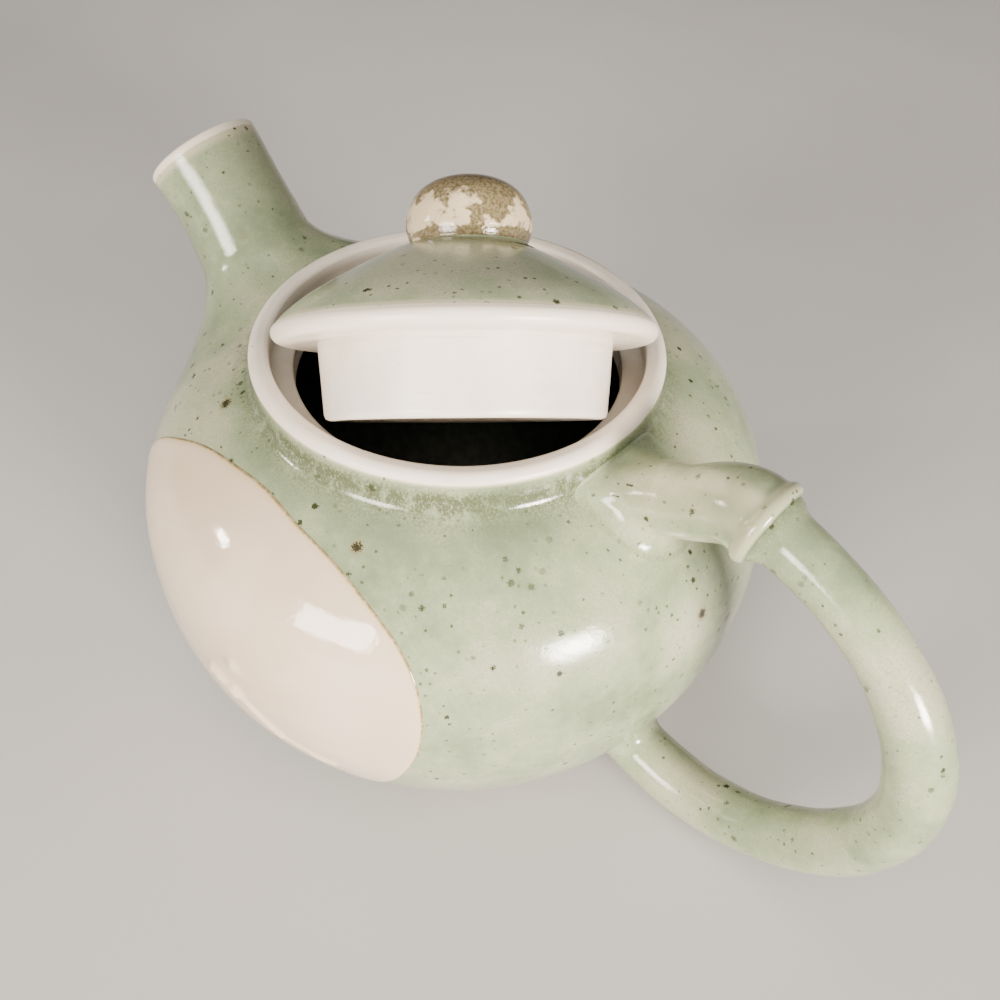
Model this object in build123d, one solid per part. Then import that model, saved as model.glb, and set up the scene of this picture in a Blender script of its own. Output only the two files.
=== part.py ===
from build123d import *
from math import cos, radians, sin, sqrt
import os

# A hand-thrown stoneware teapot with its loose lid lying tipped in the mouth.
# Millimetres, +Z up. The origin is the centre of the foot's resting plane,
# the handle points to +X and the spout to -X.

# ---- driving dimensions ----------------------------------------------------

# belly of the pot
belly_radius = 65.0
belly_height = 52.0          # height of the widest circle above the table
belly_wall = 4.0
shoulder_rise = 39.9         # widest circle up to where the shoulder curve would close
shoulder_fullness = 2.5
bowl_tuck = 6.0              # how far below the table the bowl curve would close
bowl_fullness = 2.1
floor_thickness = 4.5

# foot ring
foot_radius = 38.0
foot_width = 6.5
foot_height = 5.0

# gallery collar, the white ring that holds the lid
gallery_bore = 36.0
rim_wall = 3.9
collar_flare = 4.1           # how far the collar spreads out onto the shoulder
flare_rise = 3.5             # height over which it spreads
collar_rise = 7.8            # collar's joint with the shoulder up to the rim
ledge_width = 4.2
ledge_depth = 4.2            # rim down to the ledge that the lid sits on

# spout
spout_reach = 14.0           # centre of the lip beyond the belly
spout_tip_rise = 7.2         # centre of the lip above the rim of the pot
spout_tip_angle = 42.0       # from the horizontal
spout_root_rise = 8.0        # centre of the root above the widest circle
spout_root_inset = 15.0      # centre of the root inside the belly
spout_root_angle = 62.0
spout_root_width = 27.0      # half widths of the flared root
spout_root_depth = 14.0
spout_neck_radius = 12.2
spout_lip_radius = 12.6
spout_wall = 3.6
strainer_bore = 4.0
strainer_pitch = 7.5
strainer_ring_holes = 6

# handle: a thick stub with a rolled lip, and the loop that comes out of it
handle_reach = 45.0          # middle of the clay at the bow, beyond the belly
handle_bow_rise = 3.0        # above the widest circle of the belly
loop_shoulder_in = 14.2      # upper bend of the loop, back from the bow and above it
loop_shoulder_rise = 28.0
loop_heel_in = 9.5           # lower bend of the loop, back from the bow
loop_heel_rise = 17.0        # and above the lowest point
loop_low_out = 7.2           # lowest point of the loop, beyond the belly
loop_low_height = 9.4        # and above the table
loop_root_angle = 24.0       # slope at which the loop runs into the bowl
loop_start_radius = 5.2
loop_bow_radius = 6.1
loop_low_radius = 6.3
loop_root_radius = 7.6
loop_root_height = 14.0
stub_drop = 4.8              # middle of the stub's root below the rim
stub_climb = 31.0            # slope at which the stub leaves the shoulder
stub_root_radius = 7.2
stub_waist_radius = 6.5
lip_out = 6.5                # middle of the stub's lip beyond the belly
lip_rise = 2.0               # and above the rim
lip_radius = 8.2
lip_roll = 1.6
lip_dip = 12.0               # degrees that the lip's face looks down

# lid
lid_play = 2.0               # lid plate to gallery wall
lid_edge = 3.0
dome_rise = 17.0
dome_fullness = 1.5
dome_margin = 0.5            # dome curve beyond the rounded edge of the plate
dome_wall = 4.5
skirt_gap = 5.7              # skirt to ledge bore
skirt_taper = 1.0
skirt_depth = 13.4
skirt_wall = 3.0
knob_radius = 11.2
knob_base_radius = 10.4
knob_bulge_height = 3.0      # widest circle of the knob above its base
knob_rise = 9.2              # widest circle up to the top
knob_fullness = 2.3
knob_offset = 0.9            # the knob is set a little off the lid's axis

# how the loose lid lies in the mouth
lid_tip = 43.6               # degrees from level
lid_tip_heading = 135.7      # compass direction that the knob leans to, from +X
lid_slip_heading = 139.9     # the lid's middle lies on the other side of the pot's axis
lid_rise = 13.65             # middle of the plate above the ledge
lid_wedge_gap = 1.2          # skirt to ledge bore, measured in the plane of the slip

# ---- sizes worked out from them --------------------------------------------

bowl_drop = belly_height + bowl_tuck
collar_radius = gallery_bore + rim_wall
collar_foot_radius = collar_radius + collar_flare
shoulder_share = 1 - (collar_foot_radius / belly_radius) ** shoulder_fullness
collar_base = belly_height + shoulder_rise * shoulder_share ** (1 / shoulder_fullness)
rim_height = collar_base + collar_rise
ledge_height = rim_height - ledge_depth
ledge_bore = gallery_bore - ledge_width
lip_crown = rim_wall / 2
plate_radius = gallery_bore - lid_play
skirt_radius = ledge_bore - skirt_gap
skirt_end_radius = skirt_radius - skirt_taper
curve_steps = 8


def swell(distance, radius, extent, fullness):
    """Radius of a rounded wall at a distance from its widest circle."""
    share = min(abs(distance) / extent, 1.0)
    return radius * (1 - share ** fullness) ** (1 / fullness)


def shoulder_radius(height):
    """Outer radius of the shoulder at a height above the table."""
    return swell(height - belly_height, belly_radius, shoulder_rise, shoulder_fullness)


def bowl_radius(height):
    """Outer radius of the lower half at a height above the table."""
    return swell(belly_height - height, belly_radius, bowl_drop, bowl_fullness)


def wall_curve(radius_at, low, high):
    """Spline in the XZ plane along a wall whose radius is known at each height."""
    heights = [low + (high - low) * step / curve_steps for step in range(curve_steps + 1)]
    return Spline(*[(radius_at(height), 0, height) for height in heights])


def turned(*edges):
    """Solid turned about the Z axis from a closed outline in the XZ plane."""
    return revolve(make_face(edges), Axis.Z)


def in_section(*points):
    """Straight edges in the XZ plane through points given as radius and height."""
    return Polyline(*[(radius, 0, height) for radius, height in points])


# ---- the pot ---------------------------------------------------------------

def belly_shape(wall, bottom):
    """Solid belly, as thick clay or, with the wall taken off, as the hollow inside."""
    def upper(height):
        return swell(height - belly_height, belly_radius - wall,
                     shoulder_rise - wall, shoulder_fullness)

    def lower(height):
        return swell(belly_height - height, belly_radius - wall,
                     bowl_drop - wall, bowl_fullness)

    low = wall_curve(lower, bottom, belly_height)
    high = wall_curve(upper, belly_height, collar_base)
    ends = in_section((upper(collar_base), collar_base), (0, collar_base),
                      (0, bottom), (lower(bottom), bottom))
    return turned(low, high, ends)


def spout_crossing():
    """Point where the middle line of the spout comes out through the belly."""
    line = spout_line()
    way = [line @ (step / 100) for step in range(101)]
    return next(point for point in way if -point.X > shoulder_radius(point.Z))


def strainer_holes():
    """Straight holes through the wall behind the spout, one in the middle of a ring."""
    middle = spout_crossing()
    slope = shoulder_radius(middle.Z - 1) - shoulder_radius(middle.Z + 1)
    outward = Vector(-2, 0, slope).normalized()
    wall_face = Plane(origin=middle - outward * 2 * belly_wall, z_dir=outward)
    hole = extrude(Circle(strainer_bore / 2), 4 * belly_wall)
    places = [Location((0, 0, 0))]
    places += PolarLocations(strainer_pitch, strainer_ring_holes).locations
    return [wall_face * place * hole for place in places]


def make_pot_body():
    inside = belly_shape(belly_wall, foot_height + floor_thickness)
    neck = Pos(0, 0, collar_base - belly_wall) * extrude(Circle(ledge_bore), 2 * belly_wall)
    return belly_shape(0, foot_height) - inside - neck - strainer_holes()


def make_foot_ring():
    ring = extrude(Circle(foot_radius) - Circle(foot_radius - foot_width), foot_height)
    lowest = ring.edges().group_by(Axis.Z)[0]
    return fillet(lowest, foot_width / 5)


def collar_outline(bore_edges):
    """Section of the collar: rounded rim, outer wall and the flare onto the shoulder."""
    shoulder_run = shoulder_radius(collar_base - 0.5) - shoulder_radius(collar_base + 0.5)
    wall_foot = (collar_radius, 0, collar_base + flare_rise)
    crown = ThreePointArc((gallery_bore, 0, rim_height - lip_crown),
                          (gallery_bore + lip_crown, 0, rim_height),
                          (collar_radius, 0, rim_height - lip_crown))
    wall = Line((collar_radius, 0, rim_height - lip_crown), wall_foot)
    flare = Spline(wall_foot, (collar_foot_radius, 0, collar_base),
                   tangents=[(0, 0, -1), (shoulder_run, 0, -1)])
    return [crown, wall, flare, bore_edges]


def make_gallery_collar():
    bore = in_section((collar_foot_radius, collar_base), (ledge_bore, collar_base),
                      (ledge_bore, ledge_height), (gallery_bore, ledge_height),
                      (gallery_bore, rim_height - lip_crown))
    return turned(*collar_outline(bore))


def pot_envelope():
    """Belly and collar with nothing hollowed out, to trim what is luted onto them."""
    fill = in_section((collar_foot_radius, collar_base), (0, collar_base),
                      (0, rim_height - lip_crown), (gallery_bore, rim_height - lip_crown))
    return belly_shape(0, foot_height) + turned(*collar_outline(fill))


def limb(line, stations, overrun=0):
    """Clay pulled along a line: station = (share of the line, width, depth)."""
    rings = []
    for share, width, depth in stations:
        ring_plane = Plane(origin=line @ share, x_dir=(0, 1, 0), z_dir=line % share)
        rings.append(ring_plane * Ellipse(width, depth))
    if overrun:
        rings.append(ring_plane * Pos(0, 0, overrun) * Ellipse(width, depth))
    return loft(rings)


# ---- spout -----------------------------------------------------------------

def spout_line():
    """Middle line of the spout, from inside the belly to the lip."""
    root = (spout_root_inset - belly_radius, 0, belly_height + spout_root_rise)
    tip = (-belly_radius - spout_reach, 0, rim_height + spout_tip_rise)
    root_way = (-cos(radians(spout_root_angle)), 0, sin(radians(spout_root_angle)))
    tip_way = (-cos(radians(spout_tip_angle)), 0, sin(radians(spout_tip_angle)))
    return Spline(root, tip, tangents=[root_way, tip_way])


def spout_form(wall, overrun=0):
    """Outer form of the spout, or with the wall taken off, its bore run out past the lip."""
    root_width = spout_root_width - wall
    root_depth = spout_root_depth - wall
    neck = spout_neck_radius - wall
    lip = spout_lip_radius - wall
    half_width = (root_width + neck) / 2
    half_depth = (root_depth + neck) / 2
    stations = [(0, root_width, root_depth), (0.25, half_width, half_depth),
                (0.5, neck + 1, neck + 0.3), (0.78, neck, neck), (1, lip, lip)]
    return limb(spout_line(), stations, overrun)


def make_spout(envelope):
    bore = spout_form(spout_wall, overrun=spout_wall)
    return (spout_form(0) - envelope - bore).solids().sort_by(Axis.Z)[-1]


# ---- handle ----------------------------------------------------------------

def lip_plane():
    """Face of the stub's rolled lip, looking out and a little down."""
    way = (cos(radians(lip_dip)), 0, -sin(radians(lip_dip)))
    middle = (belly_radius + lip_out, 0, rim_height + lip_rise)
    return Plane(origin=middle, x_dir=(0, 1, 0), z_dir=way)


def make_handle_stub(envelope):
    face = lip_plane()
    stub_height = rim_height - stub_drop
    climb = (cos(radians(stub_climb)), 0, sin(radians(stub_climb)))
    root = (collar_foot_radius - 2 * stub_root_radius, 0, stub_height - stub_root_radius)
    back_of_roll = face.origin - face.z_dir * 2 * lip_roll
    waist = ((collar_foot_radius + back_of_roll.X) / 2, 0, stub_height + lip_roll)
    line = Spline(root, waist, back_of_roll, tangents=[climb, face.z_dir])
    stations = [(0, stub_root_radius + 1.5, stub_root_radius + 1.5),
                (0.3, stub_root_radius, stub_root_radius),
                (0.6, stub_waist_radius, stub_waist_radius),
                (1, lip_radius - lip_roll / 2, lip_radius - lip_roll / 2)]
    roll_plane = Plane(origin=back_of_roll, x_dir=face.x_dir, z_dir=face.z_dir)
    roll = roll_plane * extrude(Circle(lip_radius), 2 * lip_roll)
    roll = fillet(roll.edges(), 0.9 * lip_roll)
    return (limb(line, stations) + roll - envelope).solids().sort_by(Axis.X)[-1]


def loop_line():
    """Middle line of the loop, from the stub's lip round to inside the bowl."""
    face = lip_plane()
    run_in = (-cos(radians(loop_root_angle)), 0, sin(radians(loop_root_angle)))
    bow = Vector(belly_radius + handle_reach, 0, belly_height + handle_bow_rise)
    shoulder = bow + Vector(-loop_shoulder_in, 0, loop_shoulder_rise)
    heel = Vector(bow.X - loop_heel_in, 0, loop_low_height + loop_heel_rise)
    lowest = Vector(belly_radius + loop_low_out, 0, loop_low_height)
    root = Vector(bowl_radius(loop_root_height) - loop_root_radius, 0, loop_root_height + 2)
    return Spline(face.origin, shoulder, bow, heel, lowest, root,
                  tangents=[face.z_dir, run_in])


def make_handle_loop(envelope):
    stations = [(0, loop_start_radius), (0.15, loop_start_radius), (0.35, loop_bow_radius),
                (0.45, loop_bow_radius), (0.6, loop_low_radius), (0.75, loop_low_radius),
                (0.9, loop_low_radius), (1, loop_root_radius)]
    clay = limb(loop_line(), [(share, radius, radius) for share, radius in stations])
    return (clay - envelope).solids().sort_by(Axis.X)[-1]


# ---- lid -------------------------------------------------------------------

def dome_height(radius):
    """Height of the dome over the plate's underside at a radius."""
    return lid_edge + swell(radius, dome_rise, plate_radius + dome_margin, dome_fullness)


def lid_place():
    """Plane of the plate's underside as the lid lies tipped, wedged in the ledge bore."""
    tip = radians(lid_tip)
    below = (lid_rise - skirt_depth * cos(tip)) / sin(tip)
    half_chord_square = skirt_end_radius ** 2 - below ** 2
    to_chord = sqrt((ledge_bore - lid_wedge_gap) ** 2 - half_chord_square)
    slip = to_chord - skirt_depth * sin(tip) + below * cos(tip)
    lean = radians(lid_tip_heading)
    back = radians(lid_slip_heading)
    middle = (-slip * cos(back), -slip * sin(back), ledge_height + lid_rise)
    axis = (sin(tip) * cos(lean), sin(tip) * sin(lean), cos(tip))
    return Plane(origin=middle, x_dir=(-sin(lean), cos(lean), 0), z_dir=axis)


def make_lid_plate():
    steps = range(curve_steps + 1)
    rim_start = plate_radius - lid_edge / 4
    radii = [rim_start + (knob_base_radius - rim_start) * step / curve_steps for step in steps]
    crest = dome_height(knob_base_radius)
    dome = Spline(*[(radius, 0, dome_height(radius)) for radius in radii])
    edge = ThreePointArc((plate_radius - lid_edge / 2, 0, 0), (plate_radius, 0, lid_edge / 2),
                         (rim_start, 0, dome_height(rim_start)))
    under_radius = skirt_radius - skirt_wall
    under = [(under_radius * step / curve_steps) for step in steps]
    hollow = Spline(*[(radius, 0, dome_height(radius + dome_wall / 2) - dome_wall)
                      for radius in under])
    top_of_hollow = dome_height(dome_wall / 2) - dome_wall
    side_of_hollow = dome_height(under_radius + dome_wall / 2) - dome_wall
    ends = in_section((knob_base_radius, crest), (0, crest), (0, top_of_hollow))
    foot = in_section((under_radius, side_of_hollow), (under_radius, 0),
                      (plate_radius - lid_edge / 2, 0))
    return turned(dome, edge, hollow, ends, foot)


def make_lid_skirt():
    inner = skirt_radius - skirt_wall
    ring = turned(in_section((skirt_radius, 0), (skirt_end_radius, -skirt_depth),
                             (inner - skirt_taper, -skirt_depth), (inner, 0), (skirt_radius, 0)))
    lowest = ring.edges().group_by(Axis.Z)[0]
    return fillet(lowest, skirt_wall / 3)


def make_lid_knob():
    base = dome_height(knob_base_radius)
    bulge = base + knob_bulge_height
    heights = [knob_rise * sin(radians(90 * step / curve_steps)) for step in range(curve_steps + 1)]
    crown = Spline(*[(swell(height, knob_radius, knob_rise, knob_fullness), 0, bulge + height)
                     for height in heights], tangents=[(0, 0, 1), (-1, 0, 0)])
    cheek = Spline((knob_base_radius, 0, base), (knob_radius, 0, bulge),
                   tangents=[(knob_radius - knob_base_radius, 0, knob_bulge_height / 2), (0, 0, 1)])
    ends = in_section((0, bulge + knob_rise), (0, base), (knob_base_radius, base))
    return turned(crown, cheek, ends)


# ---- everything in its place -----------------------------------------------

envelope = pot_envelope()
tipped = lid_place()
nodes = {
    "pot_body": make_pot_body(),
    "foot_ring": make_foot_ring(),
    "gallery_collar": make_gallery_collar(),
    "spout": make_spout(envelope),
    "handle_stub": make_handle_stub(envelope),
    "handle_loop": make_handle_loop(envelope),
    "lid_plate": tipped * make_lid_plate(),
    "lid_skirt": tipped * make_lid_skirt(),
    "lid_knob": tipped * Pos(-knob_offset, 0, 0) * make_lid_knob(),
}

os.makedirs("parts", exist_ok=True)
for name, shape in nodes.items():
    export_step(shape, f"parts/{name}.step")
    print(name, round(shape.volume), "mm3")
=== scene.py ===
# %% [markdown]
# # A thrown teapot with its lid lying tipped in the mouth
# A potter makes this pot from separate pieces of clay. The pot, the spout, the lid and its
# knob are thrown on a wheel, and the handle is pulled by hand. They are luted together with
# slip, dipped in glaze and fired. The measured CAD model is the frame that everything here
# is built around. It is loaded first, so that every size and place can be read from it.

# %% Load the measured model
import math
import bpy
import numpy as np
from mathutils import Matrix, Vector
from mathutils.bvhtree import BVHTree


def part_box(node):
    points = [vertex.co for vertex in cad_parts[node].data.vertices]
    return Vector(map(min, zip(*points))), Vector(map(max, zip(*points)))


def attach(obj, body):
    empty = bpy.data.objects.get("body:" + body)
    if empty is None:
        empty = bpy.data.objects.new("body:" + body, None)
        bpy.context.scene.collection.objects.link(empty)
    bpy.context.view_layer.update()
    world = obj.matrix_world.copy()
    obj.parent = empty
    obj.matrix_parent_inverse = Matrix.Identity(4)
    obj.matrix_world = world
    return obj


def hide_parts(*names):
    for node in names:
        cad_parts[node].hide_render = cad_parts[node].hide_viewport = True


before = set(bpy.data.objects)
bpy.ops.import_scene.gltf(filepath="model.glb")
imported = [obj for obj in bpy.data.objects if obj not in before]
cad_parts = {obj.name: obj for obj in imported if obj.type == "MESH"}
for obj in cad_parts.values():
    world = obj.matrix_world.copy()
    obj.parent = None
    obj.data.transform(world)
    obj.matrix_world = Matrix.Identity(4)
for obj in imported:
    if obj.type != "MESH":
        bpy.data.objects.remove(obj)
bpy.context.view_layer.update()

# %% [markdown]
# ## Sizes
# Blender works in metres, but a potter thinks in millimetres, so the shapes are worked out
# in millimetres and turned to metres when a mesh is made. Sizes that the measured pieces
# hold are read from their boxes. The others are the curves and wall thicknesses of the pot.

# %% Sizes in millimetres
MM = 0.001


def box_mm(node):
    low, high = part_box(node)
    return np.array(low) / MM, np.array(high) / MM


belly_low, belly_high = box_mm("pot_body")
collar_low, collar_high = box_mm("gallery_collar")
foot_low, foot_high = box_mm("foot_ring")
belly_radius = (belly_high[1] - belly_low[1]) / 2
foot_height, foot_radius = foot_high[2], foot_high[0]
collar_base, rim_height = collar_low[2], collar_high[2]
collar_foot_radius = collar_high[0]

belly_height, belly_wall, floor_thickness = 52.0, 4.0, 4.5
shoulder_rise, shoulder_fullness = 39.9, 2.5
bowl_drop, bowl_fullness = 58.0, 2.1
foot_width = 6.5
gallery_bore, rim_wall, flare_rise = 36.0, 3.9, 3.5
ledge_width, ledge_depth = 4.2, 4.2
collar_radius, ledge_bore = gallery_bore + rim_wall, gallery_bore - ledge_width
ledge_height = rim_height - ledge_depth
print("belly radius", round(belly_radius, 2), "rim height", round(rim_height, 2))


def swell(distance, radius, extent, fullness):
    """Radius of a rounded wall at a distance from its widest circle."""
    share = np.clip(np.abs(distance) / extent, 0, 1)
    return radius * (1 - share ** fullness) ** (1 / fullness)


def pot_radius(height, wall=0.0):
    """Radius of the belly at a height, or of its inside once the wall is taken off."""
    over = swell(height - belly_height, belly_radius - wall, shoulder_rise - wall,
                 shoulder_fullness)
    under = swell(height - belly_height, belly_radius - wall, bowl_drop - wall, bowl_fullness)
    return np.where(height > belly_height, over, under)


# %% [markdown]
# ## Two small helpers
# Colours are given as sRGB hex values, but the renderer adds light in linear values,
# so one function turns them. Every node of every tree is added by one other function, which
# makes the node, sets it and links its inputs. A node given as an input means its first output.

# %% Colour and node helpers
def tint(hex_colour, alpha=1.0):
    """Linear RGBA of an sRGB hex colour."""
    shares = [int(hex_colour[at:at + 2], 16) / 255 for at in (1, 3, 5)]
    return (*[s / 12.92 if s <= 0.04045 else ((s + 0.055) / 1.055) ** 2.4 for s in shares], alpha)


def add(tree, kind, links=None, **settings):
    """A new node with its settings; links maps an input to a value, a node or (node, output)."""
    node = tree.nodes.new(kind)
    for key, value in settings.items():
        setattr(node, key, value)
    for key, value in (links or {}).items():
        sockets = [s for s in node.inputs if s.enabled and s.name == key]
        socket = node.inputs[key] if isinstance(key, int) else sockets[0]
        if isinstance(value, bpy.types.Node):
            value = (value, next(s.name for s in value.outputs if s.enabled))
        if isinstance(value, tuple) and isinstance(value[0], bpy.types.Node):
            giver = next(s for s in value[0].outputs if s.enabled and s.name == value[1])
            tree.links.new(giver, socket)
        else:
            socket.default_value = value
    return node


# %% [markdown]
# ## Camera
# The camera stands close above the pot, a little to the handle's side of the front, and looks
# down into the mouth. It is set from its distance, its height angle and a slight roll, so each
# of these can be changed on its own.

# %% Camera
camera_azimuth, camera_elevation, camera_roll = map(math.radians, (41.5, 46.704, 2.517))
camera_distance, slide_right, slide_up = 0.241014, 0.009149, -0.002797

back = Vector((math.sin(camera_azimuth) * math.cos(camera_elevation),
               -math.cos(camera_azimuth) * math.cos(camera_elevation),
               math.sin(camera_elevation)))
level = Vector((math.cos(camera_azimuth), math.sin(camera_azimuth), 0))
upright = back.cross(level)
right = math.cos(camera_roll) * level + math.sin(camera_roll) * upright
up = math.cos(camera_roll) * upright - math.sin(camera_roll) * level
place = (Vector((0, 0, belly_height * MM)) + back * camera_distance
         + right * slide_right + up * slide_up)

camera = bpy.data.objects.new("camera", bpy.data.cameras.new("camera"))
bpy.context.scene.collection.objects.link(camera)
camera.matrix_world = Matrix((right, up, back)).transposed().to_4x4()
camera.location = place
camera.data.lens, camera.data.sensor_width = 39.6, 36.0
camera.data.clip_start, camera.data.clip_end = 0.01, 20
bpy.context.scene.camera = camera
print("camera at", [round(c, 3) for c in camera.location])

# %% [markdown]
# ## Celadon glaze
# Celadon is a glassy feldspar glaze with a little iron, fired without air, which turns it
# grey green. It was dipped, so it is thin and milky on edges and runs, and thick and dark
# green where it pools in a crease. Iron grains in the clay burn through it as fine specks, and
# a few large ones as near-black spots with a rusty halo. The eye sees a wet gloss whose
# highlights have grainy edges, because the surface has a fine orange peel. All patterns are
# made with noise and cells on the clay's own coordinates in millimetres, so they are solid
# patterns that need no unwrapping. Two numbers stored on the mesh say where the glaze
# lies thin and where it pools.

# %% Steps that every glaze is made of
def glaze_tree(name):
    """A fresh material, its tree, its shader and the clay's own coordinates in millimetres."""
    material = bpy.data.materials.new(name)
    material.use_nodes = True
    tree = material.node_tree
    tree.nodes.clear()
    where = (add(tree, "ShaderNodeAttribute", attribute_name="wheel_mm"), "Vector")
    shader = add(tree, "ShaderNodeBsdfPrincipled")
    output = add(tree, "ShaderNodeOutputMaterial")
    tree.links.new(shader.outputs[0], output.inputs[0])
    return material, tree, shader, where


def coat(tree, under, colour, *ramps):
    """A colour laid over what is under it, as strongly as all its ramps allow together.

    A ramp is (value, low, high, least, most), a value faded smoothly from one range to
    another. A plain (node, output) counts as it is."""
    cover = None
    for ramp in ramps:
        if len(ramp) == 5:
            ramp = add(tree, "ShaderNodeMapRange",
                       {"Value": ramp[0], "From Min": ramp[1], "From Max": ramp[2],
                        "To Min": ramp[3], "To Max": ramp[4]}, interpolation_type="SMOOTHSTEP")
        cover = ramp if cover is None else add(tree, "ShaderNodeMath", {0: cover, 1: ramp},
                                               operation="MULTIPLY")
    return add(tree, "ShaderNodeMix", {"Factor": cover, "A": under, "B": tint(colour)},
               data_type="RGBA")


def grains(tree, where, cell, radius, kept, seed):
    """How deep a place lies in a ragged grain. Cells of that size in mm hold one each, and
    only a share of the grains is kept."""
    moved = add(tree, "ShaderNodeVectorMath", {0: where, 1: (seed, seed * 2.3, -seed)},
                operation="ADD")
    cells = add(tree, "ShaderNodeTexVoronoi", {"Vector": moved, "Scale": 1 / cell})
    lot = add(tree, "ShaderNodeSeparateColor", {"Color": (cells, "Color")})
    size = add(tree, "ShaderNodeMapRange",
               {"Value": (lot, "Red"), "From Min": 1 - kept, "From Max": 1.0, "To Min": 0.0,
                "To Max": radius / cell}, interpolation_type="SMOOTHSTEP")
    ragged = add(tree, "ShaderNodeTexNoise", {"Vector": moved, "Scale": 3.6, "Detail": 2.0})
    spread = add(tree, "ShaderNodeMath", {0: (ragged, "Fac"), 1: 0.9 * radius / cell,
                                          2: (cells, "Distance")}, operation="MULTIPLY_ADD")
    return (add(tree, "ShaderNodeMath", {0: size, 1: spread}, operation="SUBTRACT"), "Value")


def surface(tree, shader, colour, height, roughness, ior=1.5, depth=MM):
    """Gives the shader its colour, relief and gloss. Depth is the relief's scale in metres."""
    bump = add(tree, "ShaderNodeBump", {"Height": height, "Distance": depth, "Strength": 1.0})
    for name, value in (("Base Color", colour), ("Normal", bump), ("Roughness", roughness)):
        if isinstance(value, bpy.types.Node):
            giver = next(s for s in value.outputs if s.enabled)
            tree.links.new(giver, shader.inputs[name])
        else:
            shader.inputs[name].default_value = value
    shader.inputs["IOR"].default_value = ior


# %% Celadon glaze
celadon_stops = [(0.50, "#7d8a6b"), (0.62, "#939f7e"), (0.70, "#a0a988"), (0.80, "#b2b397")]
pooled_green, veil_green, milk, shown_clay = "#474d33", "#7d8566", "#cdc4a6", "#eee2d0"
# grains of iron: cell and radius in mm, share kept, seed, colour
iron_specks = [(1.4, 0.66, 0.7, 3.1, "#535a3f"), (2.6, 1.30, 0.5, 7.7, "#3a3d27")]
iron_spots, spot_halo, spot_black = (11.0, 2.5, 0.5, 12.9), "#8d7a58", "#2e2a1c"
pinholes = (2.6, 0.45, 0.35, 5.3)


def make_celadon():
    material, tree, shader, where = glaze_tree("celadon glaze on stoneware")
    cloud = add(tree, "ShaderNodeTexNoise", {"Vector": where, "Scale": 0.045, "Detail": 3.0})
    mottle = add(tree, "ShaderNodeTexNoise", {"Vector": where, "Scale": 0.4, "Detail": 6.0,
                                              "Roughness": 0.65})
    fine = add(tree, "ShaderNodeTexNoise", {"Vector": where, "Scale": 2.4, "Detail": 3.0,
                                            "Roughness": 0.7})
    mottle, fine = (mottle, "Fac"), (fine, "Fac")
    tone = add(tree, "ShaderNodeMath", {0: mottle, 1: 0.35, 2: (cloud, "Fac")},
               operation="MULTIPLY_ADD")
    colour = add(tree, "ShaderNodeValToRGB", {"Fac": tone})
    while len(colour.color_ramp.elements) < len(celadon_stops):
        colour.color_ramp.elements.new(0.5)
    for element, (at, hex_colour) in zip(colour.color_ramp.elements, celadon_stops):
        element.position, element.color = at, tint(hex_colour)

    thin = (add(tree, "ShaderNodeAttribute", attribute_name="thin"), "Fac")
    pooled_glaze_and_shade = (add(tree, "ShaderNodeAttribute", attribute_name="pooled_glaze_and_shade"), "Fac")
    patchy = (mottle, 0.32, 0.56, 0.25, 1.0)
    colour = coat(tree, colour, pooled_green, pooled_glaze_and_shade, patchy, (fine, 0.35, 0.62, 0.35, 1.0))
    colour = coat(tree, colour, veil_green, (fine, 0.42, 0.66, 0.0, 0.42), patchy)
    colour = coat(tree, colour, milk, (thin, 0.0, 0.6, 0.0, 0.8))

    # fine iron grains that burnt through the glaze, crowded in some places
    crowd = add(tree, "ShaderNodeTexNoise", {"Vector": where, "Scale": 0.11, "Detail": 2.0})
    crowded = ((crowd, "Fac"), 0.36, 0.60, 0.4, 1.0)
    for *kind, dark in iron_specks:
        inside_grain = grains(tree, where, *kind)
        colour = coat(tree, colour, dark, (inside_grain, -0.03, 0.06, 0.0, 1.0), crowded)
    # a few large grains with a rusty halo round them
    inside_spot = grains(tree, where, *iron_spots)
    colour = coat(tree, colour, spot_halo, (inside_spot, -0.07, 0.02, 0.0, 0.55))
    colour = coat(tree, colour, spot_black, (inside_spot, 0.0, 0.035, 0.0, 0.95))
    # where the glaze was wiped off or ran away, the white clay shows
    edge = add(tree, "ShaderNodeMath", {0: mottle, 1: 0.3, 2: thin}, operation="MULTIPLY_ADD")
    bare = add(tree, "ShaderNodeMapRange", {"Value": edge, "From Min": 0.80, "From Max": 0.95},
               interpolation_type="SMOOTHSTEP")
    colour = coat(tree, colour, shown_clay, (bare, "Result"))

    # orange peel about 0.4 mm across, soft waves about 3 mm across, and pinholes
    holes = add(tree, "ShaderNodeMapRange",
                {"Value": grains(tree, where, *pinholes), "From Min": 0.0, "From Max": 0.08,
                 "To Min": 0.0, "To Max": -0.05}, interpolation_type="SMOOTHSTEP")
    peel = add(tree, "ShaderNodeMath", {0: fine, 1: 0.018, 2: holes}, operation="MULTIPLY_ADD")
    height = add(tree, "ShaderNodeMath", {0: mottle, 1: 0.05, 2: peel}, operation="MULTIPLY_ADD")
    gloss = add(tree, "ShaderNodeMapRange", {"Value": fine, "From Min": 0.3, "From Max": 0.7,
                                             "To Min": 0.05, "To Max": 0.13},
                interpolation_type="SMOOTHSTEP")
    matt = add(tree, "ShaderNodeMath", {0: bare, 1: 0.22, 2: gloss}, operation="MULTIPLY_ADD")
    surface(tree, shader, colour, height, matt, ior=1.52)
    return material


celadon = make_celadon()
print("nodes in the celadon glaze", len(celadon.node_tree.nodes))
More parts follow.
